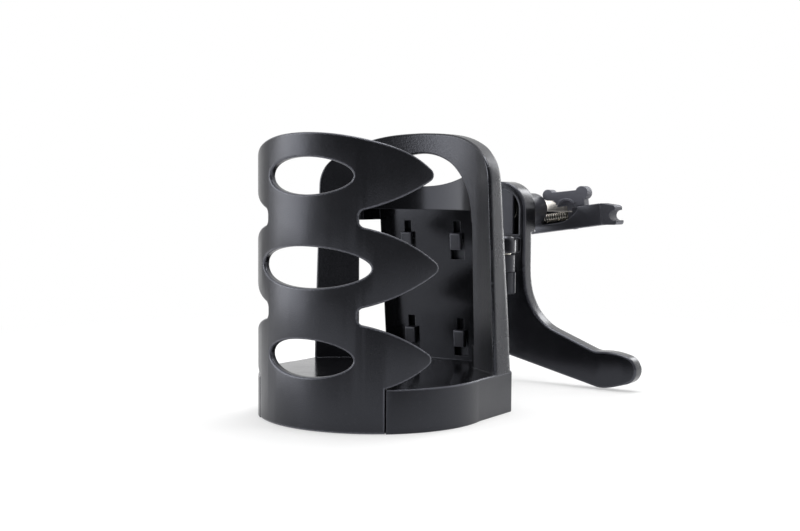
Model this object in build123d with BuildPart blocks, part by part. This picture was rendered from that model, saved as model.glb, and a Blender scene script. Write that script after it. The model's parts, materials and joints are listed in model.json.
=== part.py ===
"""Cup holder for a car's air vent: a cup cradle with a sliding front shell, and a swinging vent mount.

Millimetres. The origin is on the cup's axis at the underside of the base. +Z is up, the open cup shell faces
-Y, and the vent mount stands behind the back frame at +Y, turned to the side so that its jaws point along +X.
"""
import os
from math import cos, hypot, radians, sin, sqrt, tan

from build123d import *

os.makedirs("parts", exist_ok=True)

# Clearances
sliding_gap = 0.3
running_gap = 0.05
seat_gap = 0.1
match_tolerance = 0.01

# Cup shell
cup_radius = 41.0
shell_wall = 2.4
shell_height = 98.9
shell_reach_angle = 76.0
shell_edge_round = 0.7
seam_angle = 40.2
window_rim_drop = 14.3
window_foot_height = 24.1
window_widths = (34.0, 44.2, 34.2)
window_rises = (12.4, 13.8, 12.6)

# Fingers of the shell: angles round the cup from its front, and heights
finger_view_angle = 47.0
finger_tip_angles = (65.3, 68.4, 64.8)
finger_tip_heights = (84.6, 54.1, 24.0)
finger_gap_angles = (28.0, 27.6)
finger_gap_heights = (70.6, 38.6)
finger_gap_width = 5.0
finger_gap_round = 2.2
finger_tip_round = 2.4
finger_upper_bow = 56.0
finger_lower_bow = 78.0
lowest_finger_bow = 47.0
brow_angles = (33.5, 50.9)
brow_drops = (2.8, 6.9)

# Base
floor_height = 14.7
floor_thickness = 2.4
base_wall = 2.2
base_half_width = 40.4
base_rear_radius = 65.3
base_corner_round = 3.0
base_edge_round = 0.6
cover_thickness = 1.8
screw_post_radius = 3.2
screw_radius = 1.1
screw_head_radius = 2.3
screw_head_height = 1.1
screw_length = 8.0
screw_places = ((-31.0, 2.0), (31.0, 2.0), (-29.0, 24.0), (29.0, 24.0))

# Tongue of the shell, its rails and its return springs
tongue_half_width = 22.0
tongue_thickness = 3.0
tongue_height = 5.0
tongue_rear = 12.0
tongue_slot_width = 20.0
tongue_slot_length = 22.0
rail_width = 2.6
rail_lip = 2.4
rail_front = -22.0
rail_rear = 28.0
spring_offset = 14.0
spring_peg_radius = 1.2
spring_peg_length = 2.4
spring_post_place = 25.0
spring_post_width = 6.0
spring_post_thickness = 2.4
spring_post_low = 3.0
return_coil_radius = 2.0
return_wire_radius = 0.45
return_turns = 6

# Back frame, a concave face round its own axis
frame_face_radius = 55.0
frame_axis_place = -20.4
frame_lean = 1.8
frame_plate = 3.0
frame_depth = 8.7
frame_rear_lean = 3.3
frame_flange = 2.6
frame_foot_half_width = 40.3
frame_shoulder_half_width = 38.8
frame_shoulder_height = 80.0
frame_top_height = 101.5
frame_crown_radius = 61.0
frame_corner_round = 12.0
frame_edge_round = 0.8
inner_foot_half_width = 25.6
inner_arch_radius = 24.6
inner_arch_height = 69.7
inner_step = 0.7
lens_half_width = 19.4
lens_tip_height = 84.9
lens_low_height = 81.5
lens_margin = 0.5

# Pocket for the claw plate, with a leaning panel
pocket_top = 72.7
pocket_half_width = 23.9
pocket_wall = 2.0
panel_foot_place = 44.6
panel_lean = 5.3
panel_thickness = 2.2
side_window_low = 23.0
side_window_high = 68.4
side_window_flare = 4.8
side_window_flare_front = 24.8
side_window_flare_rear = 32.3

# Claws and their keyholes, measured up the panel from the floor
claw_offset = 11.0
claw_tops = (49.4, 11.9)
claw_width = 4.5
claw_height = 6.4
claw_thickness = 1.9
claw_neck_width = 2.6
claw_neck_height = 3.0
claw_round = 0.5
keyhole_gap = 0.7
neck_gap = 0.2
keyhole_lift = 4.4
keyhole_drop = 3.8

# Claw plate and its hinge arm
plate_half_width = 17.0
plate_low = 0.8
plate_high = 56.0
plate_thickness = 3.0
plate_round = 3.0
hinge_x = 7.4
hinge_y = 82.0
hinge_bolt_radius = 2.0
bolt_head_radius = 2.9
bolt_head_height = 2.0
bolt_head_sink = 0.2
bolt_head_chamfer = 0.5
knuckle_low = 46.9
knuckle_height = 6.9
knuckle_radius = 5.7
arm_width = 7.6
arm_gusset_drop = 12.0
arm_gusset_width = 3.0
washer_thickness = 0.6
washer_radius = 4.2
ear_height = 7.2
ear_radius = 6.1
ear_web_width = 5.0
ear_web_drop = 1.6
ear_dome = 2.6
nut_height = 8.9
nut_radius = 6.1
nut_flutes = 8
nut_flute_radius = 1.4
nut_chamfer = 0.5
nut_floor = 1.0

# Support leg, flat and upright behind the hinge
leg_setback = 12.3
leg_thickness = 6.2
leg_skin = 2.0
leg_rim = 2.2
leg_edge_round = 0.9
leg_half_width = 11.8
leg_rib_thickness = 1.4
leg_rib_heights = (24.0, 37.0, 50.0)
foot_rib_places = (24.0, 40.0)
head_height = 72.0
head_depth = 9.6
head_foot = 62.6
knee_start = 50.0
knee_bend = (14.8, 33.0)
knee_end = (26.0, 22.6)
instep = (44.6, 15.2)
foot_reach = 62.0
toe_height = 8.5
toe_radius = 5.8
toe_top_angle = 72.0
toe_low_angle = -75.0
toe_sole = (44.6, 0.9)
heel_height = 14.9
heel_round = 9.0
instep_round = 8.0

# Clip pivot in the head
pocket_radius = 9.0
pocket_low = 61.8
head_web = 4.4
cap_half_width = 6.2
cap_thickness = 1.6
stem_radius = 4.4
stem_proud = 0.2
pivot_washer_radius = 6.0
pivot_washer_thickness = 1.0
pivot_screw_radius = 1.5
pivot_screw_length = 9.0
pivot_head_radius = 3.0
pivot_head_height = 1.7

# Vent clip, in a frame turned about the pivot
clip_tilt = 8.0
boss_radius = 6.9
boss_reach = 30.7
jaw_depth = 8.0
jaw_low = -10.9
jaw_high = -1.6
jaw_end = 31.9
jaw_solid_start = 18.6
jaw_flange_height = 3.3
jaw_root_left = -6.5
jaw_root_right = 3.2
jaw_root_high = -0.8
jaw_stub_length = 2.9
jaw_stub_inset = 1.3
jaw_edge_round = 0.6
tongue_side_gap = 0.2
tongue_end_gap = 0.7

# Soft boot on the jaw's tip
boot_lip = 1.0
boot_lip_proud = 0.4
boot_side = 0.3
boot_round = 1.2
boot_length = 6.4
boot_end_low = -11.7
boot_end_high = -3.4
notch_height = 4.4
notch_depth = 1.8

# Grip lever, its pin and its spring
lever_thickness = 5.0
lever_pin_place = (17.5, -9.0)
lever_pin_radius = 1.0
lever_tongue_thickness = 2.4
lever_tongue_width = 4.4
lever_barrel_radius = 2.2
thumb_lobe = (7.0, 5.2)
thumb_lobe_radius = 2.4
nose_lobe = (23.2, 4.1)
nose_lobe_radius = 2.9
lever_bar_low = 1.2
lever_waist = 1.5
lever_bite = 0.15
lever_arch_center = (15.2, -2.6)
lever_arch_radius = 4.5
lever_lip = 0.8
lever_lip_proud = 1.0
lever_web_lift = 1.0
nose_width = 4.0
nose_neck_offset = 1.2
grip_coil_radius = 1.7
grip_wire_radius = 0.3
grip_turns = 10
grip_spring_height = -4.9
grip_peg_radius = 1.1
grip_peg_length = 2.0


def outline_point(angle, height):
    """A point of the finger outline, seen along the finger view."""
    return cup_radius * sin(radians(angle - finger_view_angle)), height


def at_places(corners, places):
    """The corners of a sketch that lie at the given places."""
    return [c for c in corners if any(hypot(c.X - x, c.Y - y) < match_tolerance for x, y in places)]


def panel_height(height):
    """Turns a height above the ground into a distance up the leaning panel."""
    return (height - floor_height) / cos(radians(panel_lean))


def panel_place(height):
    """Where the leaning panel's front face lies at a height."""
    return panel_foot_place - tan(radians(panel_lean)) * (height - floor_height)


def seam_wedge(clearance):
    """The wedge in front of both seams, widened by a clearance."""
    apex = (cup_radius * sin(radians(seam_angle) - view) + clearance) / sin(view)
    return (0, apex), (far * sin(view), apex - far * cos(view)), (-far * sin(view), apex - far * cos(view))


view = radians(finger_view_angle)
shell_seat_radius = cup_radius - shell_wall - sliding_gap
finger_plane = Plane(origin=(0, 0, 0), x_dir=(cos(view), sin(view), 0), z_dir=(sin(view), -cos(view), 0))
lean = radians(panel_lean)
panel_plane = Plane(
    origin=(0, panel_foot_place, floor_height), x_dir=(1, 0, 0), z_dir=(0, -cos(lean), -sin(lean))
)
tilt = radians(clip_tilt)
face_lean = radians(frame_lean)
rear_lean = radians(frame_rear_lean)
frame_foot = (0, frame_axis_place, floor_height)
face_plane = Plane(origin=frame_foot, x_dir=(1, 0, 0), z_dir=(0, -sin(face_lean), cos(face_lean)))
rear_plane = Plane(origin=frame_foot, x_dir=(1, 0, 0), z_dir=(0, -sin(rear_lean), cos(rear_lean)))
panel_rear_step = panel_thickness / cos(lean)
leg_front = hinge_y + leg_setback
boss_rear = leg_front + boss_reach
toe_center = (foot_reach - toe_radius, toe_height)


def clip_plane(place):
    """An upright plane in the clip's turned frame, facing the front, at a distance behind the cup."""
    return Plane(origin=(0, place, head_height), x_dir=(cos(tilt), 0, sin(tilt)), z_dir=(0, -1, 0))


far = 4 * cup_radius
spring_height = tongue_height + tongue_thickness / 2

# Front shell: one side is cut to its fingers and mirrored, then the windows and the tongue follow
with BuildPart() as front_shell:
    reach = radians(shell_reach_angle)
    with BuildSketch():
        Circle(cup_radius)
        Circle(cup_radius - shell_wall, mode=Mode.SUBTRACT)
        with BuildLine():
            Polyline((0, 0), (0, -far), (far * sin(reach), -far), (far * sin(reach), -far * cos(reach)), close=True)
        make_face(mode=Mode.INTERSECT)
    extrude(amount=shell_height)
    tips = [outline_point(a, h) for a, h in zip(finger_tip_angles, finger_tip_heights)]
    gap_tops = [
        outline_point(a, h + finger_gap_width / 2) for a, h in zip(finger_gap_angles, finger_gap_heights)
    ]
    gap_feet = [
        outline_point(a, h - finger_gap_width / 2) for a, h in zip(finger_gap_angles, finger_gap_heights)
    ]
    crest = outline_point(0, shell_height)
    brow = [outline_point(a, shell_height - d) for a, d in zip(brow_angles, brow_drops)]
    band_corner = outline_point(seam_angle, floor_height + seat_gap)
    with BuildSketch(finger_plane):
        with BuildLine():
            Spline(crest, *brow, tips[0], tangents=[(1, 0), (1, -1.1)])
            RadiusArc(tips[0], gap_tops[0], finger_lower_bow)
            Line(gap_tops[0], gap_feet[0])
            RadiusArc(gap_feet[0], tips[1], finger_upper_bow)
            RadiusArc(tips[1], gap_tops[1], finger_lower_bow)
            Line(gap_tops[1], gap_feet[1])
            RadiusArc(gap_feet[1], tips[2], finger_upper_bow)
            RadiusArc(tips[2], band_corner, lowest_finger_bow)
            Polyline(
                band_corner, (band_corner[0], -far), (far, -far), (far, far), (crest[0], far), crest
            )
        make_face()
        fillet(at_places(vertices(), tips), finger_tip_round)
        fillet(at_places(vertices(), gap_tops + gap_feet), finger_gap_round)
    extrude(amount=far, mode=Mode.SUBTRACT)
    mirror(about=Plane.YZ)
    window_top = shell_height - window_rim_drop
    window_heights = (window_top, (window_top + window_foot_height) / 2, window_foot_height)
    with BuildSketch(Plane.XZ):
        for height, width, rise in zip(window_heights, window_widths, window_rises):
            with Locations((0, height)):
                Ellipse(width / 2, rise / 2)
    extrude(amount=far, mode=Mode.SUBTRACT)
    middles = [(e, e @ 0.5) for e in edges()]
    rims = [e for e, m in middles if abs(hypot(m.X, m.Y) - cup_radius) < match_tolerance]
    fillet(rims, shell_edge_round)
    with BuildSketch(Plane.XY.offset(tongue_height)):
        with Locations((0, tongue_rear)):
            Rectangle(2 * tongue_half_width, far, align=(Align.CENTER, Align.MAX))
        Circle(cup_radius - shell_wall / 2, mode=Mode.INTERSECT)
        RectangleRounded(tongue_slot_width, tongue_slot_length, finger_tip_round, mode=Mode.SUBTRACT)
    extrude(amount=tongue_thickness)
    with Locations(Plane.XZ.offset(-tongue_rear)):
        with Locations((-spring_offset, spring_height), (spring_offset, spring_height)):
            Cylinder(spring_peg_radius, spring_peg_length, align=(Align.CENTER, Align.CENTER, Align.MAX))
front_shell.part.label = "front_shell"
export_step(front_shell.part, "parts/front_shell.step")


# Holder body: the base, the rails inside it, and the back frame
with BuildSketch(mode=Mode.PRIVATE) as footprint:
    Circle(cup_radius)
    Rectangle(2 * base_half_width, far, align=(Align.CENTER, Align.MIN))
    with Locations((0, frame_axis_place)):
        Circle(base_rear_radius, mode=Mode.INTERSECT)
    fillet(vertices().group_by(Axis.Y)[-1], base_corner_round)
    Rectangle(
        2 * (pocket_half_width + pocket_wall + seat_gap),
        panel_foot_place + panel_thickness + seat_gap,
        align=(Align.CENTER, Align.MIN),
    )

with BuildSketch(mode=Mode.PRIVATE) as hollow:
    Circle(cup_radius - base_wall)
    Rectangle(2 * (base_half_width - base_wall), far, align=(Align.CENTER, Align.MIN))
    with Locations((0, frame_axis_place)):
        Circle(base_rear_radius - base_wall, mode=Mode.INTERSECT)
    fillet(vertices().group_by(Axis.Y)[-1], base_corner_round - base_wall / 2)
    with BuildSketch(mode=Mode.PRIVATE) as front_wall:
        with BuildLine():
            Polyline(*seam_wedge(sliding_gap + base_wall), close=True)
        make_face()
        Circle(shell_seat_radius - base_wall, mode=Mode.SUBTRACT)
    add(front_wall.sketch, mode=Mode.SUBTRACT)

with BuildSketch(mode=Mode.PRIVATE) as frame_outline:
    with BuildLine():
        slope = (frame_foot_half_width - frame_shoulder_half_width) / (frame_shoulder_height - floor_height)
        low = floor_height - floor_thickness
        low_half = frame_foot_half_width + slope * floor_thickness
        eave = frame_top_height - frame_crown_radius + sqrt(frame_crown_radius**2 - frame_shoulder_half_width**2)
        eave_half = frame_foot_half_width - slope * (eave - floor_height)
        Line((-low_half, low), (low_half, low))
        Line((low_half, low), (eave_half, eave))
        ThreePointArc((eave_half, eave), (0, frame_top_height), (-eave_half, eave))
        Line((-eave_half, eave), (-low_half, low))
    make_face()
    fillet(at_places(vertices(), ((eave_half, eave), (-eave_half, eave))), frame_corner_round)

with BuildSketch(mode=Mode.PRIVATE) as arch_outline:
    with BuildLine():
        Line((inner_arch_radius, inner_arch_height), (inner_foot_half_width, floor_height))
        Line((inner_foot_half_width, floor_height), (-inner_foot_half_width, floor_height))
        Line((-inner_foot_half_width, floor_height), (-inner_arch_radius, inner_arch_height))
        ThreePointArc(
            (-inner_arch_radius, inner_arch_height),
            (0, inner_arch_height + inner_arch_radius),
            (inner_arch_radius, inner_arch_height),
        )
    make_face()


with BuildSketch(mode=Mode.PRIVATE) as pocket_outline:
    with Locations((0, head_height)):
        Circle(pocket_radius)
    with Locations((0, pocket_low)):
        Rectangle(2 * pocket_radius, head_height - pocket_low, align=(Align.CENTER, Align.MIN))


def on_face_edge(edge):
    """True for the edges where the frame's outline meets its concave face."""
    local = face_plane.to_local_coords(edge @ 0.5)
    low_edge = floor_height - seat_gap
    return abs(hypot(local.X, local.Y) - frame_face_radius) < match_tolerance and (edge @ 0.5).Z > low_edge


with BuildPart() as holder_body:
    add(footprint.sketch)
    extrude(amount=floor_height)
    fillet(faces().sort_by(Axis.Z)[-1].edges(), base_edge_round)
    with BuildSketch():
        with BuildLine():
            Polyline(*seam_wedge(sliding_gap), close=True)
        make_face()
        Circle(shell_seat_radius, mode=Mode.SUBTRACT)
    extrude(amount=floor_height, mode=Mode.SUBTRACT)
    add(hollow.sketch)
    extrude(amount=floor_height - floor_thickness, mode=Mode.SUBTRACT)
    # Slot in the front wall, and channels in which the tongue slides
    channel_low = tongue_height - sliding_gap
    channel_high = tongue_height + tongue_thickness + sliding_gap
    channel_half_width = tongue_half_width + sliding_gap
    with BuildSketch(Plane.XZ):
        with Locations((0, (channel_low + channel_high) / 2)):
            Rectangle(2 * channel_half_width, channel_high - channel_low)
    extrude(amount=far, mode=Mode.SUBTRACT)
    ceiling = floor_height - floor_thickness
    for side in (-1, 1):
        with BuildSketch(Plane.XZ.offset(-rail_rear)):
            with BuildLine():
                Polyline(
                    (side * (channel_half_width - rail_lip), channel_low),
                    (side * channel_half_width, channel_low),
                    (side * channel_half_width, channel_high),
                    (side * (channel_half_width - rail_lip), channel_high),
                    (side * (channel_half_width - rail_lip), ceiling),
                    (side * (channel_half_width + rail_width), ceiling),
                    (side * (channel_half_width + rail_width), channel_low - rail_width + sliding_gap),
                    (side * (channel_half_width - rail_lip), channel_low - rail_width + sliding_gap),
                    close=True,
                )
            make_face()
        extrude(amount=rail_rear - rail_front)
        # Post with a peg for the return spring
        with BuildSketch(Plane.XY.offset(spring_post_low)):
            with Locations((side * spring_offset, spring_post_place)):
                Rectangle(spring_post_width, spring_post_thickness, align=(Align.CENTER, Align.MIN))
        extrude(amount=ceiling - spring_post_low)
        with Locations(Plane.XZ.offset(-spring_post_place)):
            with Locations((side * spring_offset, spring_height)):
                Cylinder(spring_peg_radius, spring_peg_length, align=(Align.CENTER, Align.CENTER, Align.MIN))
    # Posts for the cover's screws
    with BuildSketch(Plane.XY.offset(cover_thickness)):
        with Locations(*screw_places):
            Circle(screw_post_radius)
    extrude(amount=ceiling - cover_thickness)
    with BuildSketch(Plane.XY.offset(cover_thickness)):
        with Locations(*screw_places):
            Circle(screw_radius + running_gap)
    extrude(amount=screw_length, mode=Mode.SUBTRACT)
    # Back frame: the outline, trimmed to the concave face and to the rear
    with BuildPart(mode=Mode.PRIVATE) as frame:
        with BuildSketch(Plane.XZ):
            add(frame_outline.sketch)
        extrude(amount=-far)
        with Locations(face_plane):
            Cylinder(frame_face_radius, 2 * far, mode=Mode.SUBTRACT)
        with Locations(rear_plane):
            Cylinder(frame_face_radius + frame_depth, 2 * far, mode=Mode.INTERSECT)
        fillet(edges().filter_by(on_face_edge), frame_edge_round)
        with BuildPart(mode=Mode.PRIVATE) as frame_hollow:
            with BuildSketch(Plane.XZ):
                add(frame_outline.sketch)
                offset(amount=-frame_flange, mode=Mode.REPLACE)
            extrude(amount=-far)
            with Locations(face_plane):
                Cylinder(frame_face_radius + frame_plate, 2 * far, mode=Mode.SUBTRACT)
            with Locations((0, 0, floor_height)):
                Box(far, far, far, align=(Align.CENTER, Align.CENTER, Align.MAX), mode=Mode.SUBTRACT)
        add(frame_hollow.part, mode=Mode.SUBTRACT)
    add(frame.part)
    # Pocket: side walls, top wall and the leaning panel
    with BuildPart(mode=Mode.PRIVATE) as pocket:
        roof = pocket_top + pocket_wall
        with BuildSketch(Plane.YZ):
            with BuildLine():
                Polyline(
                    (0, floor_height - floor_thickness),
                    (panel_foot_place + panel_rear_step, floor_height - floor_thickness),
                    (panel_foot_place + panel_rear_step, floor_height),
                    (panel_place(roof) + panel_rear_step, roof),
                    (0, roof),
                    close=True,
                )
            make_face()
        extrude(amount=pocket_half_width + pocket_wall, both=True)
        with Locations(face_plane):
            Cylinder(frame_face_radius + inner_step, 2 * far, mode=Mode.SUBTRACT)
    add(pocket.part)
    with BuildSketch(Plane.YZ):
        with BuildLine():
            Polyline(
                (0, floor_height),
                (panel_foot_place, floor_height),
                (panel_place(pocket_top), pocket_top),
                (0, pocket_top),
                close=True,
            )
        make_face()
    extrude(amount=pocket_half_width, both=True, mode=Mode.SUBTRACT)
    # Shallow step of the arch inside the rim
    with BuildPart(mode=Mode.PRIVATE) as step:
        with BuildSketch(Plane.XZ):
            add(arch_outline.sketch)
        extrude(amount=-far)
        with Locations(face_plane):
            Cylinder(frame_face_radius + inner_step, 2 * far, mode=Mode.INTERSECT)
    add(step.part, mode=Mode.SUBTRACT)
    # Lens window above the pocket
    lens_top = inner_arch_height + inner_arch_radius - lens_margin
    with BuildSketch(Plane.XZ):
        with BuildLine():
            ThreePointArc((-lens_half_width, lens_tip_height), (0, lens_top), (lens_half_width, lens_tip_height))
            ThreePointArc((lens_half_width, lens_tip_height), (0, lens_low_height), (-lens_half_width, lens_tip_height))
        make_face()
    extrude(amount=-far, mode=Mode.SUBTRACT)
    # Side openings between the frame and the panel, flared towards the rear
    opening_half = pocket_half_width - seat_gap
    with BuildSketch(Plane.XY.offset(side_window_low)):
        for side in (-1, 1):
            with BuildLine():
                Polyline(
                    (side * opening_half, side_window_flare_front),
                    (side * (opening_half + side_window_flare), side_window_flare_rear),
                    (side * (opening_half + side_window_flare), far),
                    (side * opening_half, far),
                    close=True,
                )
            make_face()
    extrude(amount=side_window_high - side_window_low, mode=Mode.SUBTRACT)
    # Keyholes of the claws
    with BuildSketch(panel_plane):
        for top in claw_tops:
            with Locations((-claw_offset, top), (claw_offset, top)):
                with Locations((0, -claw_height - keyhole_drop)):
                    Rectangle(
                        claw_width + 2 * keyhole_gap,
                        claw_height + 2 * keyhole_gap,
                        align=(Align.CENTER, Align.MIN),
                    )
                    Rectangle(
                        claw_neck_width + 2 * neck_gap,
                        claw_height + keyhole_drop + keyhole_lift,
                        align=(Align.CENTER, Align.MIN),
                    )
    extrude(amount=-far / 10, mode=Mode.SUBTRACT)
holder_body.part.label = "holder_body"
export_step(holder_body.part, "parts/holder_body.step")

# Cover that closes the base from below
with BuildPart() as base_cover:
    with BuildSketch():
        add(hollow.sketch)
        offset(amount=-seat_gap, mode=Mode.REPLACE)
    extrude(amount=cover_thickness)
    with BuildSketch():
        with Locations(*screw_places):
            Circle(screw_radius + running_gap)
    extrude(amount=cover_thickness, mode=Mode.SUBTRACT)
    with BuildSketch():
        with Locations(*screw_places):
            Circle(screw_head_radius + running_gap)
    extrude(amount=screw_head_height, mode=Mode.SUBTRACT)
base_cover.part.label = "base_cover"
export_step(base_cover.part, "parts/base_cover.step")

# Screws of the cover
with BuildPart() as cover_screws:
    with BuildSketch():
        with Locations(*screw_places):
            Circle(screw_head_radius)
    extrude(amount=screw_head_height - running_gap)
    with BuildSketch():
        with Locations(*screw_places):
            Circle(screw_radius)
    extrude(amount=cover_thickness + screw_length - seat_gap)
cover_screws.part.label = "cover_screws"
export_step(cover_screws.part, "parts/cover_screws.step")

# Return springs of the shell, on their pegs
coil_start = tongue_rear + seat_gap + return_wire_radius
coil_length = spring_post_place - tongue_rear - 2 * (seat_gap + return_wire_radius)
for name, side in (("return_spring_left", -1), ("return_spring_right", 1)):
    with BuildPart() as return_spring:
        start = (side * spring_offset, coil_start, spring_height)
        with BuildLine():
            coil = Helix(coil_length / return_turns, coil_length, return_coil_radius, start, (0, 1, 0))
        with BuildSketch(Plane(origin=coil @ 0, z_dir=coil % 0)):
            Circle(return_wire_radius)
        sweep(is_frenet=True)
    return_spring.part.label = name
    export_step(return_spring.part, f"parts/{name}.step")

# Claw plate behind the panel, with its claws and the hinge arm
back_of_panel = panel_thickness + seat_gap
with BuildPart() as claw_plate:
    with BuildSketch(panel_plane.offset(-back_of_panel)):
        with Locations((0, (plate_low + plate_high) / 2)):
            RectangleRounded(2 * plate_half_width, plate_high - plate_low, plate_round)
    extrude(amount=-plate_thickness)
    with BuildSketch(panel_plane.offset(-back_of_panel)):
        for top in claw_tops:
            with Locations((-claw_offset, top), (claw_offset, top)):
                Rectangle(claw_neck_width, claw_neck_height, align=(Align.CENTER, Align.MAX))
    extrude(amount=back_of_panel + seat_gap)
    with BuildSketch(panel_plane.offset(seat_gap)):
        for top in claw_tops:
            with Locations((-claw_offset, top), (claw_offset, top)):
                Rectangle(claw_width, claw_height, align=(Align.CENTER, Align.MAX))
    extrude(amount=claw_thickness)
    claw_faces = [f for f in faces() if panel_plane.to_local_coords(f.center()).Z > claw_thickness]
    fillet([e for f in claw_faces for e in f.edges()], claw_round)
    # Arm and gusset, cut off at the plate's front
    with BuildPart(mode=Mode.PRIVATE) as arm:
        with BuildSketch(Plane.XY.offset(knuckle_low)):
            with Locations((hinge_x, hinge_y)):
                Circle(knuckle_radius)
                Rectangle(arm_width, far, align=(Align.CENTER, Align.MAX))
        extrude(amount=knuckle_height)
        with BuildSketch(Plane.YZ.offset(hinge_x)):
            with BuildLine():
                Polyline(
                    (0, knuckle_low + seat_gap),
                    (hinge_y - knuckle_radius - nut_radius, knuckle_low + seat_gap),
                    (panel_place(knuckle_low) + panel_rear_step, knuckle_low - arm_gusset_drop),
                    (0, knuckle_low - arm_gusset_drop),
                    close=True,
                )
            make_face()
        extrude(amount=arm_gusset_width / 2, both=True)
        split(bisect_by=panel_plane.offset(-back_of_panel - plate_thickness / 2), keep=Keep.BOTTOM)
    add(arm.part)
    with Locations((hinge_x, hinge_y, knuckle_low)):
        Cylinder(hinge_bolt_radius + running_gap, far, mode=Mode.SUBTRACT)
claw_plate.part.label = "claw_plate"
export_step(claw_plate.part, "parts/claw_plate.step")

# Hinge washer
washer_low = knuckle_low + knuckle_height + seat_gap
with BuildPart() as hinge_washer:
    with BuildSketch(Plane.XY.offset(washer_low)):
        with Locations((hinge_x, hinge_y)):
            Circle(washer_radius)
            Circle(hinge_bolt_radius + running_gap, mode=Mode.SUBTRACT)
    extrude(amount=washer_thickness)
hinge_washer.part.label = "hinge_washer"
export_step(hinge_washer.part, "parts/hinge_washer.step")

# Fluted thumb nut under the arm
nut_top = knuckle_low - sliding_gap
with BuildPart() as thumb_nut:
    with BuildSketch(Plane.XY.offset(nut_top)):
        with Locations((hinge_x, hinge_y)):
            Circle(nut_radius)
            with PolarLocations(nut_radius + nut_flute_radius / 2, nut_flutes):
                Circle(nut_flute_radius, mode=Mode.SUBTRACT)
    extrude(amount=-nut_height)
    chamfer(faces().sort_by(Axis.Z)[0].edges(), nut_chamfer)
    with Locations((hinge_x, hinge_y, nut_top)):
        Cylinder(
            hinge_bolt_radius + running_gap,
            nut_height - nut_floor,
            align=(Align.CENTER, Align.CENTER, Align.MAX),
            mode=Mode.SUBTRACT,
        )
thumb_nut.part.label = "thumb_nut"
export_step(thumb_nut.part, "parts/thumb_nut.step")

# Hinge bolt, its head sunk in the ear
ear_low = washer_low + washer_thickness + seat_gap
ear_top = ear_low + ear_height
bolt_tip = nut_top - nut_height + nut_floor + seat_gap
with BuildPart() as hinge_bolt:
    with BuildSketch(Plane.XY.offset(ear_top - bolt_head_height - bolt_head_sink)):
        with Locations((hinge_x, hinge_y)):
            Circle(bolt_head_radius)
    extrude(amount=bolt_head_height)
    chamfer(faces().sort_by(Axis.Z)[-1].edges(), bolt_head_chamfer)
    with BuildSketch(Plane.XY.offset(ear_top - bolt_head_height - bolt_head_sink)):
        with Locations((hinge_x, hinge_y)):
            Circle(hinge_bolt_radius)
    extrude(amount=bolt_tip - (ear_top - bolt_head_height - bolt_head_sink))
hinge_bolt.part.label = "hinge_bolt"
export_step(hinge_bolt.part, "parts/hinge_bolt.step")

# Support leg
def leg_edge(inset):
    """The outline of the leg as a closed line, moved inwards by an inset."""
    half = leg_half_width - inset
    bend = (knee_bend[0] - 0.92 * inset, knee_bend[1] - 0.4 * inset)
    bend_end = (knee_end[0] - 0.37 * inset, knee_end[1] - 0.93 * inset)
    step = (instep[0] - 0.37 * inset, instep[1] - 0.93 * inset)
    sole = (toe_sole[0] + 0.24 * inset, toe_sole[1] + 0.97 * inset)
    heel = (-half, heel_height + 0.78 * inset)
    shin = Line(bend_end, step)
    Line((half, head_height), (half, knee_start))
    Spline((half, knee_start), bend, bend_end, tangents=[(0, -1), shin % 0])
    sweep_angle = toe_top_angle - toe_low_angle
    cap = CenterArc(toe_center, toe_radius - inset, toe_low_angle, sweep_angle)
    TangentArc(cap @ 1, step, tangent=cap % 1)
    under = Line(sole, heel)
    Spline(cap @ 0, sole, tangents=[-(cap % 0), under % 0])
    Line(heel, (-half, head_height))
    ThreePointArc((-half, head_height), (0, head_height + half), (half, head_height))


with BuildSketch(mode=Mode.PRIVATE) as leg_outline:
    with BuildLine():
        leg_edge(0)
    make_face()
    fillet(at_places(vertices(), ((-leg_half_width, heel_height),)), heel_round)
    fillet(at_places(vertices(), (instep,)), instep_round)

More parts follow.
